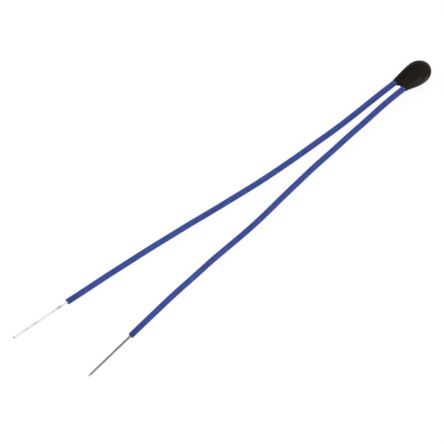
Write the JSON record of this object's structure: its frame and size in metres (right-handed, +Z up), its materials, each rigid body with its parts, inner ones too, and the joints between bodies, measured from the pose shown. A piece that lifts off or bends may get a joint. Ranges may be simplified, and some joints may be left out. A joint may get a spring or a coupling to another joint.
{
  "type": "thermistor",
  "caption": "Black epoxy-dipped bead on two long blue insulated leads with stripped wire ends; its resistance falls as it warms, so it senses temperature.",
  "frame": {"origin": "on the surface that the part lies on, straight below the middle of the epoxy head's length", "axes": "+X along the head from the leads to the rounded tip, +Y to the left across the two leads, +Z up"},
  "size_m": [0.0499, 0.0083, 0.002],
  "materials": {
    "black_epoxy": "semi-matte dipped epoxy resin",
    "oxide_ceramic": "fired, diced oxide ceramic",
    "silver_electrode": "fired silver layer",
    "solder": "reflowed tin solder",
    "plated_wire": "drawn wire with a bright silver plating",
    "blue_insulation": "satin extruded fluoropolymer"
  },
  "bodies": {
    "root": {"epoxy_head": "black_epoxy", "thermistor_chip": "oxide_ceramic", "electrode_left": "silver_electrode", "electrode_right": "silver_electrode", "solder_joint_left": "solder", "solder_joint_right": "solder", "lead_wire_left": "plated_wire", "lead_wire_right": "plated_wire", "insulation_left": "blue_insulation", "insulation_right": "blue_insulation"}
  },
  "joints": []
}
